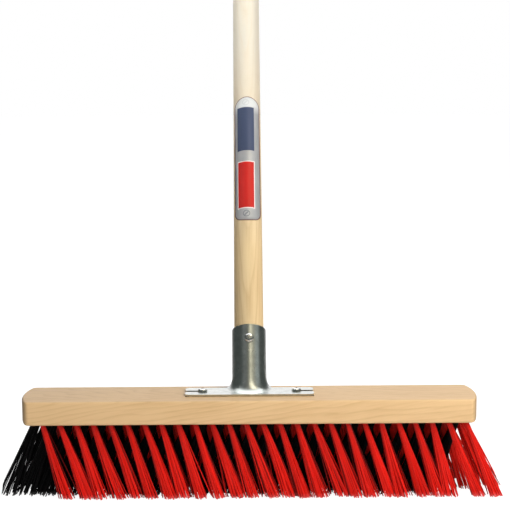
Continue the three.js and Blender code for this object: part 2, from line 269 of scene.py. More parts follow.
card("back_card", (0, 3.5, 0.95), (0, 0, 0.4), (3.6, 1.3), 0.25, (1, 0.90, 0.92))
card("top_card", (0, 0.95, 2.2), (0, 0.1, 0.1), (3.0, 1.0), 2.0, (0.97, 1, 1))
card("warm_card_high", (0.50, -0.36, 1.94), SOCKET_AIM, (1.2, 0.36), 3.8, (1, 0.90, 0.66))
card("warm_card_low", (0.50, -1.10, 1.61), SOCKET_AIM, (1.7, 0.58), 0.27, (1, 0.93, 0.68))
card("left_card", (-0.85, -0.75, 1.55), SOCKET_AIM, (0.9, 0.6), 0.13)
card("side_card", (1.5, -0.4, 1.4), SOCKET_AIM, (0.9, 0.9), 0.35, (0.92, 1, 0.97))
print("lamps and cards:", len(bpy.data.lights))

# %% Pitch the tent
TENT_RADIUS, TENT_OPENING = 4, math.radians(30)
tent_cloth, tree, output = new_material("grey_tent")
dim = add_node(tree, "ShaderNodeEmission", {"Color": (0.85, 1.0, 0.95, 1), "Strength": 0.07})[0]
feed(tree, output, {"Surface": dim})
bm = bmesh.new()
bmesh.ops.create_uvsphere(bm, u_segments=72, v_segments=36, radius=TENT_RADIUS)
middles = [(face, face.calc_center_median()) for face in bm.faces]
cut_away = [f for f, m in middles if abs(math.atan2(m.x, m.y)) < TENT_OPENING or m.z < 0]
bmesh.ops.delete(bm, geom=cut_away, context="FACES")
tent = mesh_object(bm, "grey_tent", tent_cloth)
for kind in ("camera", "diffuse", "transmission", "volume_scatter", "shadow"):
    setattr(tent, f"visible_{kind}", False)
print("tent faces:", len(tent.data.polygons))

# %% [markdown]
# ## Wood
#
# Both wooden pieces show growth rings as long soft streaks, because they are cut along the
# trunk. An image of wood would stretch at the ends and repeat, so the pattern is computed
# from the place in space instead. A trunk's rings are nested cylinders round its pith, and
# the pattern is the distance from that pith, bent by slow noise. Fine fibres and short pores
# are noise drawn out along the grain. Both woods share it, so it is a node group, and each
# wood turns it along its own grain.

# %% Helpers for a node group
def new_group(name, inputs, outputs):
    """An empty node group and what comes into it; an input is a number or "vector"."""
    group = bpy.data.node_groups.new(name, "ShaderNodeTree")
    for title, default in inputs.items():
        kind = "NodeSocketVector" if default == "vector" else "NodeSocketFloat"
        socket = group.interface.new_socket(title, in_out="INPUT", socket_type=kind)
        if default != "vector":
            socket.default_value = default
    for title in outputs:
        group.interface.new_socket(title, in_out="OUTPUT", socket_type="NodeSocketFloat")
    return group, add_node(group, "NodeGroupInput")


def finish_group(group, results):
    """Links a group's results to its outputs, and says which they are."""
    feed(group, group.nodes.new("NodeGroupOutput"), results)
    print("group", group.name, "gives", ", ".join(results))


# %% Helpers for patterns
def stretched_noise(tree, place, scale, detail, roughness=0.5):
    """Noise whose spots are drawn out by the three scales given, per metre."""
    stretched = add_node(tree, "ShaderNodeMapping", {"Vector": place, "Scale": scale})[0]
    return add_node(tree, "ShaderNodeTexNoise", {
        "Vector": stretched, "Scale": 1.0, "Detail": detail, "Roughness": roughness})[0]


def ramp(tree, value, stops):
    """A grey ramp through (position, grey) stops."""
    node = tree.nodes.new("ShaderNodeValToRGB")
    while len(node.color_ramp.elements) < len(stops):
        node.color_ramp.elements.new(0.5)
    for element, (position, grey) in zip(node.color_ramp.elements, stops):
        element.position = position
        element.color = (grey, grey, grey, 1)
    feed(tree, node, {0: value})
    return node.outputs[0]


def distance_from_axis(tree, x, y):
    """How far a point (x, y) is from the middle."""
    squares = [math_node(tree, "MULTIPLY", side, side) for side in (x, y)]
    return math_node(tree, "SQRT", math_node(tree, "ADD", *squares))


# %% The wood grain group
grain, given = new_group("wood_grain", {"Place": "vector", "Rings per metre": 300.0, "Wander": 0.004},
                         ("Rings", "Fibres", "Clouds"))
# The grain runs along the group's own Z.
drift = stretched_noise(grain, given["Place"], (22, 22, 4.5), 3)
drift = math_node(grain, "MULTIPLY", math_node(grain, "SUBTRACT", drift, 0.5), given["Wander"])
x, y, _ = add_node(grain, "ShaderNodeSeparateXYZ", {0: given["Place"]})
radius = math_node(grain, "ADD", distance_from_axis(grain, x, y), drift)
turns = math_node(grain, "MULTIPLY", radius, given["Rings per metre"])
year = math_node(grain, "FRACT", turns)
# Early wood is pale and wide; late wood darkens slowly and ends sharply.
late = ramp(grain, year, [(0.0, 0.75), (0.10, 0.12), (0.55, 0.10), (0.86, 0.62), (1.0, 0.95)])
fibres = stretched_noise(grain, given["Place"], (520, 520, 16), 5, 0.65)
clouds = stretched_noise(grain, given["Place"], (60, 60, 9), 2)
finish_group(grain, {"Rings": late, "Fibres": fibres, "Clouds": clouds})


# %% Helpers for a finish
def use_group(tree, group, values):
    """Places a group in a material, feeds its inputs and returns its outputs."""
    node = tree.nodes.new("ShaderNodeGroup")
    node.node_tree = group
    feed(tree, node, values)
    return node.outputs


def object_place(tree):
    """The place of a point in metres; every piece sits at the origin, so all share it."""
    return add_node(tree, "ShaderNodeTexCoord")["Object"]


def mix_colours(tree, mask, first, second):
    """A colour between two colours; each is a tuple or another node's output."""
    node = tree.nodes.new("ShaderNodeMix")
    node.data_type = "RGBA"
    first, second = ((*c, 1) if isinstance(c, tuple) else c for c in (first, second))
    feed(tree, node, {0: mask, 6: first, 7: second})
    return node.outputs[2]


def varied(tree, middle, width, noise):
    """A value that noise moves up and down within a width round its middle."""
    return math_node(tree, "MULTIPLY_ADD", noise, width, middle - width / 2)


def bumps(tree, height, strength, distance):
    """A normal that makes a height look like a fine relief."""
    return add_node(tree, "ShaderNodeBump", {
        "Strength": strength, "Distance": distance, "Height": height})[0]


def finish_material(material, output, values):
    """Gives a material its Principled shader."""
    shader = add_node(material.node_tree, "ShaderNodeBsdfPrincipled", values)[0]
    feed(material.node_tree, output, {"Surface": shader})
    print(f"{material.name}: {len(material.node_tree.nodes)} nodes")


# %% A wood material from the group
FIBRE_SHARE, CLOUD_SHARE = 0.9, 0.7


def wood_material(name, axis, pith, rings, wander, pale, dark, ring_share, roughness, add_shading):
    """Wood whose grain runs along an axis, with its rings nested round a point of the pith.

    rings is their number in a metre, wander is how far they stray in metres, and the last argument is
    a function of (tree, place, tone, colour) that gives the colour with that wood's painted light and
    shade on it.
    """
    material, tree, output = new_material(name)
    place = object_place(tree)
    to_grain = Vector(axis).normalized().rotation_difference(Vector((0, 0, 1))).to_matrix()
    turned = add_node(tree, "ShaderNodeMapping", {
        "Vector": place, "Location": -(to_grain @ Vector(pith)), "Rotation": to_grain.to_euler()})[0]
    wood = use_group(tree, grain, {"Place": turned, "Rings per metre": rings, "Wander": wander})
    streak = math_node(tree, "MULTIPLY", wood["Rings"], ring_share)
    spots = [math_node(tree, "MULTIPLY", math_node(tree, "SUBTRACT", wood[spot], 0.5), share)
             for spot, share in (("Fibres", FIBRE_SHARE), ("Clouds", CLOUD_SHARE))]
    tone = math_node(tree, "ADD", streak, math_node(tree, "ADD", *spots), clamp=True)
    colour = add_shading(tree, place, tone, mix_colours(tree, tone, pale, dark))
    relief = math_node(tree, "MULTIPLY_ADD", wood["Rings"], -0.35, wood["Fibres"])
    finish_material(material, output, {
        "Base Color": colour, "Roughness": varied(tree, roughness, 0.16, wood["Fibres"]),
        "Normal": bumps(tree, relief, 0.35, 0.25 * MM)})
    return material


# %% [markdown]
# ### Beech for the head, pine for the stick
#
# The head's plank came from one side of the trunk: its pith is behind it and below, and its grain
# rises a little towards the right. Its sawn ends are darkened with painted shade, as they turn away
# from the light; this also stands for end grain that drank more of the oil. The wood under the steel,
# which shows in the slots, is darkened with painted shade too. Those marks depend on the side and the
# place of a point, so they are masks. The stick was turned from a thinner board, nearly along its
# grain, so that its rings come out at the front as long pointed arches. Towards its top it is painted
# paler, a painted light for the glare there.

# %% The head's wood
BEECH_PALE, BEECH_DARK = (0.80, 0.543, 0.280), (0.57, 0.345, 0.145)
# Painted shade: one darker tone for the sawn ends and one for the wood under the steel.
SHADED_END, UNDER_STEEL_SHADE = (tuple(share * c for c in BEECH_DARK) for share in (0.55, 0.18))
SHADE_HALF_LENGTH, SHADE_HALF_WIDTH, SHADE_Y, SHADE_DEPTH = 59.5 * MM, 14.2 * MM, 2 * MM, 1 * MM
SHADE_EDGE = 0.5 * MM


def head_shade(tree, place, tone, colour):
    """Painted shade on the sawn ends, which also stands for darker end grain, and painted shade on the
    wood under the steel.
    """
    normal = add_node(tree, "ShaderNodeNewGeometry")["Normal"]
    facing = add_node(tree, "ShaderNodeSeparateXYZ", {0: normal})[0]
    # Painted shade: the sawn ends turn away from the light. It stands for darker end grain too.
    sawn = ramp(tree, math_node(tree, "ABSOLUTE", facing), [(0.35, 0.0), (0.95, 0.75)])
    colour = mix_colours(tree, sawn, colour, SHADED_END)
    # Painted shade on the wood under the steel, which shows dark in the slots.
    x, y, z = add_node(tree, "ShaderNodeSeparateXYZ", {0: place})
    along = math_node(tree, "SUBTRACT", SHADE_HALF_LENGTH, math_node(tree, "ABSOLUTE", x))
    aside = math_node(tree, "ABSOLUTE", math_node(tree, "SUBTRACT", y, SHADE_Y))
    aside = math_node(tree, "SUBTRACT", SHADE_HALF_WIDTH, aside)
    above = math_node(tree, "SUBTRACT", z, HEAD_TOP - SHADE_DEPTH)
    inside = math_node(tree, "MINIMUM", math_node(tree, "MINIMUM", along, aside), above)
    under_steel_mask = math_node(tree, "MULTIPLY", inside, 1 / SHADE_EDGE, clamp=True)
    return mix_colours(tree, under_steel_mask, colour, UNDER_STEEL_SHADE)


head_wood = wood_material("beech_head", axis=(1, 0.05, 0.17), pith=(0, 0.05, -0.02), rings=250,
                          wander=0.030, pale=BEECH_PALE, dark=BEECH_DARK, ring_share=0.36,
                          roughness=0.46, add_shading=head_shade)

# %% The stick's wood
# The third colour is painted light: the stick is made paler towards its top.
PINE_PALE, PINE_DARK, PAINTED_GLARE = (0.70, 0.53, 0.292), (0.47, 0.30, 0.13), (0.585, 0.545, 0.455)
GLARE_START, GLARE_FULL = 0.215, 0.412  # heights in metres


def stick_glare(tree, place, tone, colour):
    """Painted light: the stick pales between two heights, for the glare towards its top."""
    height = add_node(tree, "ShaderNodeSeparateXYZ", {0: place})[2]
    risen = math_node(tree, "SUBTRACT", height, GLARE_START)
    share = math_node(tree, "DIVIDE", risen, GLARE_FULL - GLARE_START, clamp=True)
    # Darker streaks stay a little darker there too.
    share = math_node(tree, "MULTIPLY", share, math_node(tree, "MULTIPLY_ADD", tone, -0.35, 1.0))
    return mix_colours(tree, share, colour, PAINTED_GLARE)


stick_grain = Vector((0, math.sin(LEAN), math.cos(LEAN))) + Vector((0.006, 0.028, 0))
stick_pith = (0.004, TUBE_Y + 0.052, HEAD_TOP)
stick_wood = wood_material("pine_stick", axis=stick_grain, pith=stick_pith, rings=560, wander=0.007,
                           pale=PINE_PALE, dark=PINE_DARK, ring_share=0.42, roughness=0.42,
                           add_shading=stick_glare)

# %% [markdown]
# ## The head
#
# A planed beech block. Its ends are sawn in a shallow bow and its edges are rounded over.
# It could be an extruded outline, but a box is simpler: it is cut across its depth, the cuts
# let its ends be pushed out into the bow, and the corners and then the edges are bevelled.

# %% Shape the block
def block(size, place=(0, 0, 0)):
    """A box of a size, with its middle at a place."""
    made = bmesh.new()
    bmesh.ops.create_cube(made, size=1)
    bmesh.ops.scale(made, verts=made.verts, vec=size)
    bmesh.ops.translate(made, verts=made.verts, vec=place)
    return made


def rise(edge):
    """How far an edge climbs from one end to the other."""
    return abs(edge.verts[0].co.z - edge.verts[1].co.z)


def round_edges(bm, edges, width, segments):
    """Rounds edges over with a bevel of several faces."""
    bmesh.ops.bevel(bm, geom=edges, offset=width, offset_type="OFFSET", affect="EDGES",
                    segments=segments, profile=0.5, material=-1)


END_BOW, CORNER_ROUND, RIM_ROUND = 5.5 * MM, 3.8 * MM, 2.0 * MM
half_length, half_depth = (head_high.x - head_low.x) / 2, HEAD_DEPTH / 2
half_thick = (HEAD_TOP - HEAD_BOTTOM) / 2
bow_radius = (half_depth ** 2 + END_BOW ** 2) / (2 * END_BOW)
head = block((2 * half_length, HEAD_DEPTH, HEAD_TOP - HEAD_BOTTOM))
for share in (-0.78, -0.55, -0.3, 0, 0.3, 0.55, 0.78):
    bmesh.ops.bisect_plane(head, geom=head.verts[:] + head.edges[:] + head.faces[:],
                           plane_co=(0, share * half_depth, 0), plane_no=(0, 1, 0))
for vert in head.verts:
    reach = half_length - bow_radius + math.sqrt(bow_radius ** 2 - vert.co.y ** 2)
    vert.co.x = math.copysign(reach, vert.co.x)
corners = [e for e in head.edges if rise(e) > 1 * MM and abs(e.verts[0].co.y) > 0.999 * half_depth]
round_edges(head, corners, CORNER_ROUND, 6)
rim = [e for e in head.edges if abs(e.verts[0].co.z) > 0.99 * half_thick and rise(e) < 0.001 * MM
       and len({f.normal.to_tuple(2) for f in e.link_faces}) > 1
       and any(abs(f.normal.z) < 0.5 for f in e.link_faces)]
round_edges(head, rim, RIM_ROUND, 5)
bmesh.ops.translate(head, verts=head.verts, vec=(0, 0, (HEAD_TOP + HEAD_BOTTOM) / 2))
print("head block faces:", len(head.faces))

# %% [markdown]
# ## Where the tufts stand
#
# Five rows of 26 or 25 holes, each row set between the holes of the others. Red rows lean to
# the right and black rows to the left, the last tufts of a row lean further, and the rows
# splay from front to back. The holes and the bristles both need these places, so they are
# worked out once, by formula, from a pitch, a plan of the rows and a few angles.

# %% Tuft places
ROWS, FULL_ROW = 5, 26
FIRST_END_TUFT = 24  # from this one on, tufts stand at the end that their row leans to
TUFT_PITCH, ROW_PITCH, FRONT_SHIFT = 15.5 * MM, 10.2 * MM, 3.9 * MM
# From the front: tufts short of a full row, and the row's shift as a share of the pitch.
ROW_PLAN = [(0, 0), (0, -0.38), (1, 0.18), (1, -0.25), (0, -0.13)]
# In degrees: the splay from row to row, and the lean of a row's tufts and of its end tufts.
SPLAY_STEP = 2.6
RED_LEANS, BLACK_LEANS = (18, 24), (20, 21)


def row_side(row):
    """1 for the red rows, which lean to the right, and -1 for the black ones."""
    return 1 if row % 2 == 0 else -1


def tufts_in(row):
    """The number of tufts in a row."""
    return FULL_ROW - ROW_PLAN[row][0]


def rows_behind_middle(row):
    """A row's place, counted backwards from the middle row."""
    return row - (ROWS - 1) / 2


def tuft_root(row, index):
    """The middle of a hole; tufts are counted in the direction that they lean."""
    middle = FRONT_SHIFT + ROW_PLAN[row][1] * TUFT_PITCH
    along = row_side(row) * (index - (tufts_in(row) - 1) / 2) * TUFT_PITCH
    return Vector((middle + along, rows_behind_middle(row) * ROW_PITCH, HEAD_BOTTOM))


def tuft_slope(row, index):
    """How far a tuft runs sideways and backwards for each metre down."""
    leans = RED_LEANS if row_side(row) > 0 else BLACK_LEANS
    lean = leans[1] if index >= FIRST_END_TUFT else leans[0]
    sideways = math.tan(math.radians(lean)) * row_side(row)
    splay = rows_behind_middle(row) * SPLAY_STEP
    return Vector((sideways, math.tan(math.radians(splay)), -1))


print("tufts:", [tufts_in(row) for row in range(ROWS)])

# %% [markdown]
# ## Finishing a piece
#
# Every new piece ends the same way: its mesh is written out, shaded smooth except at real
# edges, given its material, tied to the frame, and set to stand for its plain solid. A
# function does it, so that no piece misses a step.

# %% Finish and tie a piece
def finish_piece(bm, name, material, stands_for, crisp=30):
    """Turns a bmesh into an object that rides on the frame in place of its plain nodes."""
    piece = mesh_object(bm, name, material)
    piece.data.shade_smooth()
    piece.data.set_sharp_from_angle(angle=math.radians(crisp))
    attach(piece, "root")
    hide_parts(*stands_for)
    triangles = sum(len(p.vertices) - 2 for p in piece.data.polygons)
    print(f"{name}: {triangles} triangles")
    return piece


# %% [markdown]
# ## The tuft holes
#
# Each tuft sits in a blind hole that runs along its lean. The holes could be left out, as
# the bristles nearly fill them, but then the bristles would end in solid wood. bmesh has no
# operator that cuts one shape from another, so all the drills go in one mesh, and a Boolean
# modifier that is worked out at once takes it away from the block.

# %% Cut one shape from another
def cut_with(bm, cutter):
    """Takes one closed bmesh away from another, and returns what is left."""
    body, tool = mesh_object(bm, "cutting"), mesh_object(cutter, "cutting")
    knife = body.modifiers.new("cut", "BOOLEAN")
    knife.operation = "DIFFERENCE"
    knife.solver = "EXACT"
    knife.object = tool
    evaluated = body.evaluated_get(bpy.context.evaluated_depsgraph_get())
    left = bmesh.new()
    left.from_mesh(evaluated.to_mesh())
    evaluated.to_mesh_clear()
    for made in (body, tool):
        mesh = made.data
        bpy.data.objects.remove(made)
        bpy.data.meshes.remove(mesh)
    return left


# %% Drill the holes
HOLE_RADIUS = 3.4 * MM
HOLE_DEPTH, DRILL_START = 12, 1  # millimetres up into the wood, and down to clear it
drills = bmesh.new()
for row in range(ROWS):
    for index in range(tufts_in(row)):
        slope = tuft_slope(row, index)
        lean = Vector((0, 0, -1)).rotation_difference(slope).to_matrix().to_4x4()
        middle = tuft_root(row, index) - slope * ((HOLE_DEPTH - DRILL_START) / 2) * MM
        bmesh.ops.create_cone(drills, cap_ends=True, segments=16, radius1=HOLE_RADIUS,
                              radius2=HOLE_RADIUS, depth=(HOLE_DEPTH + DRILL_START) * MM,
                              matrix=Matrix.Translation(middle) @ lean)
head = cut_with(head, drills)
finish_piece(head, "head", head_wood, ["head_block"], crisp=40)

# %% [markdown]
# ## Bristle plastic
#
# The filaments are extruded plastic, dyed through. They differ a little in tone and are scuffed at the
# tips. Painted shade darkens them near the head and at the back of each tuft, and painted light
# brightens the end tufts and the lower part of each filament. A material for each filament would make
# thousands, so a filament keeps two numbers on its mesh instead: its own shade, with that painted
# light and shade in it, and how far along it a point is. A node group turns them into masks, because
# red and black share it.

# %% Shared wear and painted shading of a filament
wear_and_shading, given = new_group("filament_wear_and_shading", {"Place": "vector", "Shade": 0.5, "Along": 0.0},
                        ("Tone and light", "Scuff", "Grit"))
# Painted shade near the head and painted light towards the tips, along each filament.
painted_light_along = math_node(wear_and_shading, "MULTIPLY_ADD", given["Along"], 0.6, -0.30)
finish_group(wear_and_shading, {
    "Tone and light": math_node(wear_and_shading, "ADD", given["Shade"], painted_light_along, clamp=True),
    "Scuff": ramp(wear_and_shading, given["Along"], [(0.0, 0.0), (0.93, 0.0), (1.0, 0.22)]),
    "Grit": stretched_noise(wear_and_shading, given["Place"], (900, 900, 120), 2)})


# %% Plastic finishes
def mesh_number(tree, name):
    """A number that the mesh keeps for each of its points."""
    node = tree.nodes.new("ShaderNodeAttribute")
    node.attribute_name = name
    return node.outputs["Fac"]


def bristle_material(name, deep, bright, roughness, gloss):
    """Plastic between a deep and a bright shade, set by each filament's tone with painted light and
    shade, and with pale scuffed tips.
    """
    material, tree, output = new_material(name)
    used = use_group(tree, wear_and_shading, {"Place": object_place(tree), "Shade": mesh_number(tree, "shade"),
                                  "Along": mesh_number(tree, "along")})
    colour = mix_colours(tree, used["Tone and light"], deep, bright)
    colour = mix_colours(tree, used["Scuff"], colour, tuple(0.5 + 0.5 * c for c in bright))
    finish_material(material, output, {
        "Base Color": colour, "Roughness": varied(tree, roughness, 0.2, used["Grit"]),
        "Specular IOR Level": gloss})
    return material


red_plastic = bristle_material("red_bristle", (0.07, 0.001, 0.001), (0.83, 0.015, 0.008),
                               roughness=0.45, gloss=0.30)
black_plastic = bristle_material("black_bristle", (0.0010, 0.0010, 0.0012), (0.003, 0.003, 0.0035),
                                 roughness=0.5, gloss=0.12)

# %% [markdown]
# ## Bristles
#
# Each tuft is a bundle of coarse filaments. It is tight and round where it leaves its hole
# and fans out towards the tips. Hair could be grown for it, but hair isn't a mesh. So one
# filament is modelled as a thin five-sided rod cut into short lengths, and each real one is
# a bent copy of it. Every tuft and every filament is bent by chance, as packing and use bend
# real ones, which gives the gaps, crossings and ragged ends. The chance is seeded, so the
# broom comes out the same each time.

# %% One straight filament, one unit long
FILAMENT_RADIUS = 0.5 * MM
template = bmesh.new()
bmesh.ops.create_cone(template, cap_ends=True, segments=5, radius1=FILAMENT_RADIUS,
                      radius2=FILAMENT_RADIUS, depth=1, matrix=Matrix.Translation((0, 0, 0.5)))
sides = [e for e in template.edges if rise(e) > 0.5]
bmesh.ops.subdivide_edges(template, edges=sides, cuts=7)
filament = bpy.data.meshes.new("filament")
template.to_mesh(filament)
template.free()
FILAMENT_POINTS = [v.co.copy() for v in filament.vertices]
print("filament faces:", len(filament.polygons))

# %% Bend one filament
REACH, IN_HOLE = HEAD_BOTTOM, 8 * MM  # from the holes down to the floor, and up into them
RING_TILT = 0.98  # how nearly a filament's rings stay square to its own run


def add_filament(bundle, root, slope, start, end, curl, tip_drop, shade):
    """Adds a filament that fans out from start at its root to end, with a curl between."""
    spin = random.uniform(0, 2 * math.pi)
    known = len(bundle.verts)
    bundle.from_mesh(filament)
    bundle.verts.ensure_lookup_table()
    shade_layer, along_layer = (bundle.verts.layers.float[name] for name in ("shade", "along"))
    for vert, point in zip(bundle.verts[known:], FILAMENT_POINTS):
        drop = -IN_HOLE + point.z * (tip_drop + IN_HOLE)
        free = max(drop / REACH, 0)
        middle = root + slope * drop + start.lerp(end, free ** 1.1) + curl * (free ** 2 - free * 0.6)
        side = Vector((point.x * math.cos(spin) - point.y * math.sin(spin),
                       point.x * math.sin(spin) + point.y * math.cos(spin), 0))
        side.z = (side.x * slope.x + side.y * slope.y) * RING_TILT
        vert.co = middle + side
        vert[shade_layer] = shade
        vert[along_layer] = free


# %% Bend filaments into tufts
FILAMENTS, STRAY_SHARE = 36, 0.10
# A tuft's radius where it leaves its hole, by row from the front, and for ragged tufts.
ROOT_SPREAD, RAGGED_SPREAD = (2.1 * MM, 2.8 * MM, 3.4 * MM, 3.4 * MM, 3.4 * MM), 4 * MM
golden_turn = math.pi * (3 - math.sqrt(5))
random.seed(41)


def add_tuft(bundle, row, index):
    """Adds one tuft of bent filaments; behind the front row, the end tufts are ragged."""
    at_end = index >= FIRST_END_TUFT
    ragged = at_end and row > 0
    back_fan, wildest = (0.5, 2.0) if at_end else (1.5, 4.0)
    side_scatter, cut_scatter, longest_cut = (1.3, 2.4, 8.0) if ragged else (0.7, 0.9, 4.0)
    root, slope = tuft_root(row, index), tuft_slope(row, index)
    slope.x += random.gauss(0, 0.030)
    slope.y += random.gauss(0, 0.010)
    bow = Vector((random.gauss(0, 1.0), random.gauss(0, 0.6), 0)) * MM
    fan = Vector((random.uniform(2.5, 3.2), random.uniform(1.5, 1.9), 1))
    # Painted light: the end tufts are made brighter than the others.
    tuft_shade = random.uniform(0.42, 0.72) + 0.12 * at_end
    spread = max(ROOT_SPREAD[row], RAGGED_SPREAD if ragged else 0)
    tuft_cut = random.uniform(0.0, 1.1)
    twist = random.uniform(0, 2 * math.pi)
    for number in range(FILAMENTS):
        angle = twist + number * golden_turn
        distance = spread * math.sqrt((number + 0.5) / FILAMENTS)
        start = Vector((distance * math.cos(angle), distance * math.sin(angle), 0))
        stray = random.random() < STRAY_SHARE
        loose = random.uniform(1.5, wildest) if stray else 1.0
        # The filaments at the back of a tuft get painted shade, and they spread further.
        behind = start.y / spread
        end = Vector((start.x * fan.x * (1 + back_fan * max(behind, 0)), start.y * fan.y, 0))
        end += Vector((random.gauss(0, side_scatter * loose), random.gauss(0, 0.5), 0)) * MM
        curl = Vector((random.gauss(0, 0.9 * loose), random.gauss(0, 0.5), 0)) * MM + bow
        cut = min(abs(random.gauss(tuft_cut, cut_scatter)), longest_cut) * MM
        shade = min(max(random.gauss(tuft_shade - 0.95 * behind, 0.14), 0), 1)
        add_filament(bundle, root, slope, start, end, curl, REACH - cut, shade)


# %% Make a clump of tufts for each plain one
CLUMP_TUFTS = 3
# Bristles keep these gaps from the ends, and from the front and the bottom, of the frame's box.
END_GAP, EDGE_GAP = 0.1 * MM, 0.05 * MM
left_end, right_end = cad_box[0][0] + END_GAP, cad_box[1][0] - END_GAP
front = cad_box[0][1] + EDGE_GAP


def bristle_clump(row, clump):
    """The tufts of one plain clump, as one piece."""
    colour, finish = ("red", red_plastic) if row_side(row) > 0 else ("black", black_plastic)
    bundle = bmesh.new()
    for name in ("shade", "along"):
        bundle.verts.layers.float.new(name)
    first = CLUMP_TUFTS * clump
    for index in range(first, min(first + CLUMP_TUFTS, tufts_in(row))):
        add_tuft(bundle, row, index)
    for vert in bundle.verts:
        inside = min(max(vert.co.x, left_end), right_end)
        vert.co = (inside, max(vert.co.y, front), max(vert.co.z, EDGE_GAP))
    finish_piece(bundle, f"{colour}_bristles_row{row + 1}_{clump + 1}", finish,
                 [f"{colour}_tufts_row{row + 1}_{clump + 1}"], crisp=60)


for row in range(ROWS):
    for clump in range(math.ceil(FULL_ROW / CLUMP_TUFTS)):
        bristle_clump(row, clump)

# %% [markdown]
# ## Zinc plate
#
# The socket and the screws are plated with zinc, whose fine crystals cloud both its tint and
# its gloss. A plain metal would look like chrome. Two noises do it, a slow one for the clouds
# and a fine one for the speckle, in a group that both steels share.

# %% Shared crystals of the zinc
crystals, given = new_group("zinc_crystals", {"Place": "vector"}, ("Clouds", "Tone", "Speckle"))
clouds = stretched_noise(crystals, given["Place"], (160, 160, 160), 5, 0.6)
finish_group(crystals, {
    "Clouds": clouds, "Tone": ramp(crystals, clouds, [(0.35, 0.0), (0.65, 1.0)]),
    "Speckle": stretched_noise(crystals, given["Place"], (1400, 1400, 1400), 2)})


# %% Zinc-plated steel
def zinc_material(name, pale, dull, roughness):
    """Zinc plate between a pale and a dull tint."""
    material, tree, output = new_material(name)
    plate = use_group(tree, crystals, {"Place": object_place(tree)})
    rough = varied(tree, roughness, 0.16, plate["Clouds"])
    finish_material(material, output, {
        "Base Color": mix_colours(tree, plate["Tone"], pale, dull), "Metallic": 1.0,
        "Roughness": math_node(tree, "MULTIPLY_ADD", plate["Speckle"], 0.06, rough),
        "Normal": bumps(tree, plate["Speckle"], 0.15, 0.1 * MM)})
    return material


galvanised = zinc_material("galvanised_steel", (0.735, 0.76, 0.74), (0.58, 0.605, 0.585), 0.27)
screw_steel = zinc_material("screw_steel", (0.90, 0.90, 0.88), (0.76, 0.76, 0.74), 0.24)

# %% [markdown]
# ## The stick socket
#
# One pressed piece of sheet: a strip with an open slot at each end, and a tube that grows out
# of it through a flared foot. The two are modelled apart, because the strip is flat with
# sharp cuts and the tube is all curves, and are then joined in one mesh. The strip is a box
# with rounded corners, from which each slot is cut as a round end and a channel.

# %% Strip with two open slots
SHEET = 1.8 * MM
STRIP_WIDTH, STRIP_Y, SLOT, SLOT_LENGTH = 27 * MM, 2 * MM, 2.5 * MM, 16 * MM
STRIP_CORNER, SLOT_MOUTH, CUT_HEIGHT = 4 * MM, 1.5 * MM, 4 * SHEET
CLOSE = 0.01 * MM
strip_length = socket_high.x - socket_low.x
screw_x = strip_length / 2 - SLOT_LENGTH
strip = block((strip_length, STRIP_WIDTH, SHEET))
round_edges(strip, [e for e in strip.edges if rise(e) > SHEET / 2], STRIP_CORNER, 6)
for side in (-1, 1):
    round_end = bmesh.new()
    bmesh.ops.create_cone(round_end, cap_ends=True, segments=32, radius1=SLOT, radius2=SLOT,
                          depth=CUT_HEIGHT, matrix=Matrix.Translation((side * screw_x, 0, 0)))
    channel = block((1.5 * SLOT_LENGTH, 2 * SLOT, CUT_HEIGHT),
                    (side * (screw_x + 0.75 * SLOT_LENGTH), 0, 0))
    strip = cut_with(cut_with(strip, round_end), channel)
mouths = [e for e in strip.edges if rise(e) > SHEET / 2
          and abs(abs(e.verts[0].co.x) - strip_length / 2) < CLOSE
          and abs(abs(e.verts[0].co.y) - SLOT) < CLOSE]
round_edges(strip, mouths, SLOT_MOUTH, 4)
bmesh.ops.translate(strip, verts=strip.verts, vec=(0, STRIP_Y, HEAD_TOP + SHEET / 2))
print("strip faces:", len(strip.faces), "slot mouth corners:", len(mouths))

# %% [markdown]
# ### The tube and its foot
#
# The tube leans with the stick, but its foot lies flat on the strip and flares out into it.
# It starts as a level ring on the strip and is extruded ring by ring: the first rings draw
# the flare in, and the last one is square to the stick. Two functions say where a ring's
# points go. Solidify then gives the sheet its thickness, and one column of faces at the back
# is left out first, as the open seam.

# %% Where the tube's skin runs
TUBE_RADIUS, TUBE_LENGTH = 16.1 * MM, 60.5 * MM
FLARE = ((3.6 * MM, 2.3 * MM), (1.4 * MM, 6 * MM))  # each a width, and the height it fades over
FLARE_HEIGHT, EDGE_FADE = 20 * MM, 5 * MM
STRIP_BACK = STRIP_Y + STRIP_WIDTH / 2


def flare_point(angle, height):
    """A point of the tube's skin on the level slice at a height above the head."""
    above = max(height - SHEET, 0)
    spread = sum(width * math.exp(-above / fade) for width, fade in FLARE)
    spread *= max(1 - above / FLARE_HEIGHT, 0) ** 0.3
    # The flare ends where the strip does, so that the back of the tube stays plain.
    y_plain = TUBE_Y + height * math.tan(LEAN) + math.sin(angle) * TUBE_RADIUS / math.cos(LEAN)
    beyond = min(max((y_plain - STRIP_BACK) / EDGE_FADE, 0), 1)
    spread *= 1 - beyond * beyond * (3 - 2 * beyond)
    y = TUBE_Y + height * math.tan(LEAN) + math.sin(angle) * (TUBE_RADIUS / math.cos(LEAN) + spread)
    return Vector(((TUBE_RADIUS + spread) * math.cos(angle), y, HEAD_TOP + height))


def tube_point(angle, height, share):
    """A point part of the way from a level slice to the rim, along the stick."""
    around = Vector((math.cos(angle), math.sin(angle), 0)) * TUBE_RADIUS
    slice_height = (height + around.y * math.sin(LEAN)) / math.cos(LEAN)
    along = slice_height + share * (TUBE_LENGTH - slice_height)
    return up_the_stick @ Vector((around.x, around.y, along))


print("the foot is", round(2 * flare_point(0, 0).x, 4), "m wide on the strip")

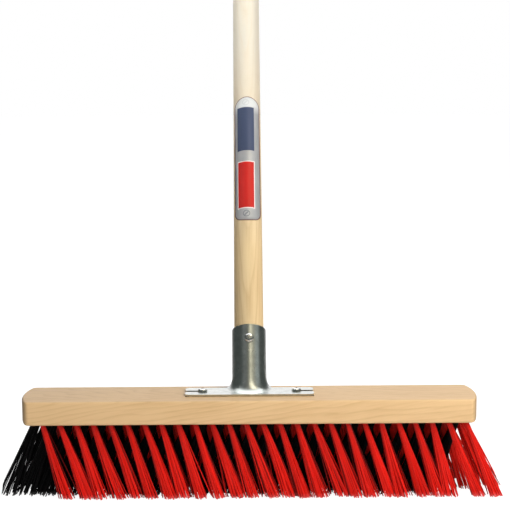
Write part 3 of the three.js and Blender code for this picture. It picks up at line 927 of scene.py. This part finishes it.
# %% Extrude the tube
COLUMNS, FLARE_RINGS = 96, 18
heights = [0.3 * MM, SHEET]
heights += [SHEET + FLARE_HEIGHT * (step / FLARE_RINGS) ** 1.4 for step in range(1, FLARE_RINGS + 1)]
levels = [(height, None) for height in heights]
levels += [(heights[-1], share) for share in (0.2, 0.4, 0.6, 0.8, 1.0)]
tube = bmesh.new()
ring = bmesh.ops.create_circle(tube, segments=COLUMNS, radius=TUBE_RADIUS)["verts"]
angles = {v: math.atan2(v.co.y, v.co.x) + math.pi / COLUMNS for v in ring}
edges = tube.edges[:]
for number, (height, share) in enumerate(levels):
    if number:
        extruded = bmesh.ops.extrude_edge_only(tube, edges=edges)["geom"]
        edges = [g for g in extruded if isinstance(g, bmesh.types.BMEdge)]
        new_ring = [g for g in extruded if isinstance(g, bmesh.types.BMVert)]
        below_it = {v: next(e.other_vert(v) for e in v.link_edges if e.other_vert(v) in angles)
                    for v in new_ring}
        angles = {vert: angles[old] for vert, old in below_it.items()}
    for vert, angle in angles.items():
        vert.co = flare_point(angle, height) if share is None else tube_point(angle, height, share)
print("tube rings:", len(levels), "faces:", len(tube.faces))

# %% Open the seam and thicken the sheet
SEAM = 1 * MM
seam_faces = []
for face in tube.faces:
    middle = up_the_stick.inverted() @ face.calc_center_median()
    if abs(middle.x) < 0.2 * MM and middle.y > 0:
        seam_faces.append(face)
for vert in {v for f in seam_faces for v in f.verts}:
    vert.co.x = math.copysign(SEAM, vert.co.x)
bmesh.ops.delete(tube, geom=seam_faces, context="FACES_ONLY")
bmesh.ops.recalc_face_normals(tube, faces=tube.faces)
# The faces agree now, but on an open sheet they may all have come out facing inwards.
outward = 0
for face in tube.faces:
    middle = face.calc_center_median()
    outward += face.normal.dot(middle - Vector((0, TUBE_Y + 0.02, middle.z)))
if outward < 0:
    bmesh.ops.reverse_faces(tube, faces=tube.faces)
bmesh.ops.solidify(tube, geom=tube.faces[:], thickness=SHEET)
for vert in tube.verts:
    vert.co.z = max(vert.co.z, HEAD_TOP)
print("tube faces:", len(tube.faces), "half width", round(max(v.co.x for v in tube.verts), 5))

# %% Join the two and round the sheet's edges
strip_mesh = bpy.data.meshes.new("strip")
strip.to_mesh(strip_mesh)
strip.free()
tube.from_mesh(strip_mesh)
bpy.data.meshes.remove(strip_mesh)
socket = finish_piece(tube, "socket", galvanised, ["stick_socket"], crisp=40)
rounding = socket.modifiers.new("rounded_edges", "BEVEL")
rounding.width = 0.35 * MM
rounding.segments = 2
rounding.limit_method = "ANGLE"
rounding.angle_limit = math.radians(50)

# %% [markdown]
# ## Screws
#
# Three pan-head screws with a cross recess hold the strip and the stick. A round part is
# quickest as a spun outline: half of the head and shank is drawn once and turned about the
# axis. The recess is two crossed blades that narrow downwards, cut out of the top.

# %% Turn one screw and cut its recess
def spun(outline, steps):
    """Spins an outline of (radius, height) points about Z into a closed shape."""
    made = bmesh.new()
    points = [made.verts.new((radius, 0, height)) for radius, height in outline]
    lines = [made.edges.new(pair) for pair in zip(points, points[1:])]
    bmesh.ops.spin(made, geom=points + lines, cent=(0, 0, 0), axis=(0, 0, 1), angle=2 * math.pi,
                   steps=steps, use_merge=True)
    bmesh.ops.remove_doubles(made, verts=made.verts, dist=0.001 * MM)
    bmesh.ops.recalc_face_normals(made, faces=made.faces)
    return made


RECESS_SIZE, RECESS_HEIGHT, RECESS_TAPER = (5.0 * MM, 1.0 * MM, 3.0 * MM), 2.6 * MM, 0.45
UNDERSIDE = 0.2  # millimetres from a screw's own zero down to the underside of its head


def screw_bmesh(length):
    """A screw with its head above z = 0 and a shank of so many millimetres below."""
    shank = [(0, -length), (2.0, -length + 3), (2.0, -UNDERSIDE)]
    pan = [(4.15, -UNDERSIDE), (4.4, 0.1), (4.4, 0.7), (4.15, 1.35), (3.6, 1.95), (2.7, 2.4),
           (1.5, 2.58), (0, 2.6)]
    made = spun([(radius * MM, height * MM) for radius, height in shank + pan], 40)
    for turn_by in (0, math.pi / 2):
        blade = block(RECESS_SIZE)
        for vert in blade.verts:
            if vert.co.z < 0:
                vert.co.x *= RECESS_TAPER
        bmesh.ops.translate(blade, verts=blade.verts, vec=(0, 0, RECESS_HEIGHT))
        bmesh.ops.rotate(blade, verts=blade.verts, matrix=Matrix.Rotation(turn_by, 3, "Z"))
        made = cut_with(made, blade)
    return made


# %% Drive the three screws
def drive_screw(name, stands_for, length, seat, turned):
    """Puts a screw in its seat, turned as it was left."""
    made = screw_bmesh(length)
    bmesh.ops.transform(made, matrix=seat @ Matrix.Rotation(turned, 4, "Z"), verts=made.verts)
    finish_piece(made, name, screw_steel, [stands_for], 40)


STRIP_TOP, STICK_SCREW_HEIGHT = HEAD_TOP + SHEET, 46 * MM
for name, side, turned in (("left", -1, 0.5), ("right", 1, 0.15)):
    seat = Matrix.Translation((side * screw_x, STRIP_Y, STRIP_TOP + UNDERSIDE * MM))
    drive_screw(f"screw_strip_{name}", f"strip_screw_{name}", 11, seat, turned)
seat = (up_the_stick @ Matrix.Translation((0, -TUBE_RADIUS - UNDERSIDE * MM, STICK_SCREW_HEIGHT))
        @ Matrix.Rotation(math.pi / 2, 4, "X"))
drive_screw("screw_stick", "stick_screw", 15, seat, 0.2)

# %% [markdown]
# ## The stick
#
# A turned round rod with a domed top and a lower end that is cut square and eased. It is
# spun from an outline too, like the real one on its lathe, and then stood on the lean. Its
# long side is cut into short lengths, so that no face is a metre long.

# %% Spin the rod
EASED, SIDE_STEPS = 0.8 * MM, 20
STICK_FOOT = (STICK_RADIUS * math.sin(LEAN) + 0.3 * MM) / math.cos(LEAN)
straight_top = STICK_LENGTH - STICK_DOME
side_length = straight_top - STICK_FOOT - EASED
outline = [(0, STICK_FOOT), (STICK_RADIUS - EASED, STICK_FOOT)]
outline += [(STICK_RADIUS, STICK_FOOT + EASED + side_length * step / SIDE_STEPS)
            for step in range(SIDE_STEPS + 1)]
for degrees in (15, 30, 45, 60, 75):
    turn = math.radians(degrees)
    outline.append((STICK_RADIUS * math.cos(turn), straight_top + STICK_DOME * math.sin(turn)))
outline.append((0, STICK_LENGTH))
rod = spun(outline, 64)
bmesh.ops.transform(rod, matrix=up_the_stick, verts=rod.verts)
finish_piece(rod, "wooden_stick", stick_wood, ["stick"], crisp=30)

# %% [markdown]
# ## The label's shape
#
# Foil wrapped round the front of the stick, with a rounded top and small lower corners. A
# flat shape could be pressed onto the rod with a modifier, but then its print would have to
# follow. A grid that is rolled by formula gives both: each of its columns is stretched
# between the outline's lower and upper edge there. Its own UV map holds millimetres, across
# the print from its middle line and up from its lower end.

# %% Roll the label
LABEL_START, LABEL_LENGTH = 174 * MM, 146 * MM
LABEL_WRAP, LABEL_SKIN, LABEL_GRID = math.radians(126), 14.32 * MM, 40
LABEL_CORNER, LABEL_ROUND, LABEL_RISE = 5 * MM, 11 * MM, 0.5
label_half = LABEL_SKIN * math.sin(LABEL_WRAP / 2)
label = bmesh.new()
bmesh.ops.create_grid(label, x_segments=LABEL_GRID, y_segments=LABEL_GRID, size=1, calc_uvs=True)
uv_layer = label.loops.layers.uv.verify()
inset_layer = label.verts.layers.float.new("inset")
prints = {}
for vert in label.verts:
    angle = vert.co.x * LABEL_WRAP / 2
    share = (vert.co.y + 1) / 2
    across = LABEL_SKIN * math.sin(angle)
    corner = max(abs(across) - (label_half - LABEL_CORNER), 0)
    low = LABEL_START + LABEL_CORNER - math.sqrt(max(LABEL_CORNER ** 2 - corner ** 2, 0))
    low += LABEL_RISE * LABEL_SKIN * (1 - math.cos(angle))  # its lower edge rises at the sides
    outward = min(abs(across) / label_half, 0.9999)
    high = LABEL_START + LABEL_LENGTH - LABEL_ROUND * (1 - math.sqrt(1 - outward ** 2))
    fall = LABEL_ROUND / label_half * outward / math.sqrt(1 - outward ** 2)
    height = low + share * (high - low)
    # How far inside the label's edge a point is, in millimetres.
    vert[inset_layer] = min(height - low, (high - height) / math.hypot(1, fall),
                            label_half - abs(across)) / MM
    prints[vert] = (angle * LABEL_SKIN / MM, (height - LABEL_START) / MM)
    vert.co = up_the_stick @ Vector((across, -LABEL_SKIN * math.cos(angle), height))
for face in label.faces:
    for loop in face.loops:
        loop[uv_layer].uv = prints[loop.vert]
print("label", round(LABEL_SKIN * LABEL_WRAP, 4), "m round the stick, faces:", len(label.faces))

# %% Turn its faces outwards
bmesh.ops.recalc_face_normals(label, faces=label.faces)
label_middle = up_the_stick @ Vector((0, -LABEL_SKIN, LABEL_START + LABEL_LENGTH / 2))
middle_face = min(label.faces, key=lambda f: (f.calc_center_median() - label_middle).length)
if middle_face.normal.y > 0:
    bmesh.ops.reverse_faces(label, faces=label.faces)
print("label faces the front:", middle_face.normal.y < 0)

# %% [markdown]
# ## The label's print
#
# Silver foil with a dark blue field above and a red one below, a thin dark line round the
# edge and a small round mark near each end. Ink hides the metal, so each field is a mask
# that changes both the colour and the shine. An image would do it too, but masks stay sharp
# at any distance. A rectangle is needed three times, so it is a node group.

# %% Shared mask: a soft-edged rectangle
EDGE_SHARPNESS = 5.0  # per millimetre
patch, given = new_group("patch_mask", {"Across": 0.0, "Up": 0.0, "Left": -5.0, "Right": 5.0,
                                        "Bottom": 0.0, "Top": 10.0}, ("Mask",))
mask = 1.0
for value, low, high in (("Across", "Left", "Right"), ("Up", "Bottom", "Top")):
    for first, second in ((value, low), (high, value)):
        inside = math_node(patch, "SUBTRACT", given[first], given[second])
        inside = math_node(patch, "MULTIPLY_ADD", inside, EDGE_SHARPNESS, 0.5, clamp=True)
        mask = math_node(patch, "MULTIPLY", mask, inside)
finish_group(patch, {"Mask": mask})

# %% The fields of the print
foil, tree, output = new_material("label_foil")
uv_map = tree.nodes.new("ShaderNodeUVMap")
uv_map.uv_map = uv_layer.name
across, up, _ = add_node(tree, "ShaderNodeSeparateXYZ", {0: uv_map.outputs[0]})


def field(left, right, bottom, top):
    """The mask of a rectangle of the print, in millimetres."""
    return use_group(tree, patch, {"Across": across, "Up": up, "Left": left, "Right": right,
                                   "Bottom": bottom, "Top": top})[0]


def below(value, limit):
    """One where a value is less than a limit, with a soft step."""
    return math_node(tree, "MULTIPLY_ADD", math_node(tree, "SUBTRACT", limit, value),
                     EDGE_SHARPNESS, 0.5, clamp=True)


def without(mask, other):
    """What is left of a mask outside another one."""
    return math_node(tree, "MULTIPLY", mask, math_node(tree, "SUBTRACT", 1.0, other))


def either(first, *others):
    """The strongest of several masks."""
    for other in others:
        first = math_node(tree, "MAXIMUM", first, other)
    return first


navy_panel = field(-10.9, 7.3, 81, 133.2)
red_border = field(-11.0, 7.6, 13.8, 68.6)
red_panel = field(-10.2, 6.7, 14.8, 67.7)
rim_line = below(mesh_number(tree, "inset"), 0.75)
print("fields of the print:", sum(node.type == "GROUP" for node in tree.nodes))

# %% The two round marks
MARK_ACROSS = -1.4


def round_mark(height, strength):
    """A circle with a slanting bar in it."""
    dx = math_node(tree, "SUBTRACT", across, MARK_ACROSS)
    dy = math_node(tree, "SUBTRACT", up, height)
    off_centre = distance_from_axis(tree, dx, dy)
    circle = without(below(off_centre, 3.6), below(off_centre, 2.9))
    bar = below(math_node(tree, "ABSOLUTE", math_node(tree, "SUBTRACT", dy, dx)), 0.7)
    bar = math_node(tree, "MULTIPLY", bar, below(off_centre, 2.6))
    return math_node(tree, "MULTIPLY", either(circle, bar), strength)


marks = either(round_mark(8.0, 0.85), round_mark(139.2, 0.22))
print("nodes of the print so far:", len(tree.nodes))

# %% Printed foil
NAVY, PRINT_RED, BORDER = (0.046, 0.062, 0.116), (0.485, 0.014, 0.010), (0.130, 0.032, 0.032)
crumple = stretched_noise(tree, object_place(tree), (90, 90, 30), 3, 0.55)
colour = mix_colours(tree, crumple, (0.37, 0.385, 0.39), (0.51, 0.505, 0.51))
share_up = math_node(tree, "DIVIDE", up, LABEL_LENGTH / MM)
bright_end = ramp(tree, share_up, [(0.0, 0.15), (0.12, 0.0), (0.86, 0.0), (0.93, 1.0)])
for mask, ink in ((bright_end, (0.60, 0.61, 0.60)), (red_border, (0.80, 0.72, 0.70)),
                  (red_panel, PRINT_RED), (navy_panel, NAVY), (marks, (0.15, 0.16, 0.18)),
                  (rim_line, BORDER)):
    colour = mix_colours(tree, mask, colour, ink)
inked = either(navy_panel, red_border, rim_line, marks)
shine = math_node(tree, "MULTIPLY_ADD", bright_end, -0.35, 0.42)
finish_material(foil, output, {
    "Base Color": colour, "Metallic": without(shine, inked),
    "Roughness": varied(tree, 0.40, 0.12, crumple), "Specular IOR Level": 0.3,
    "Coat Weight": 0.08, "Coat Roughness": 0.15, "Normal": bumps(tree, crumple, 0.3, 0.3 * MM)})
label_piece = finish_piece(label, "foil_label", foil, ["stick_label"], crisp=60)
sheet = label_piece.modifiers.new("thickness", "SOLIDIFY")
sheet.thickness = 0.28 * MM
sheet.offset = -1

# %% [markdown]
# ## Sizes
#
# The box of the plain frame is printed.

# %% Print the frame's box
print("frame box  ", [[round(v, 4) for v in corner] for corner in cad_box])
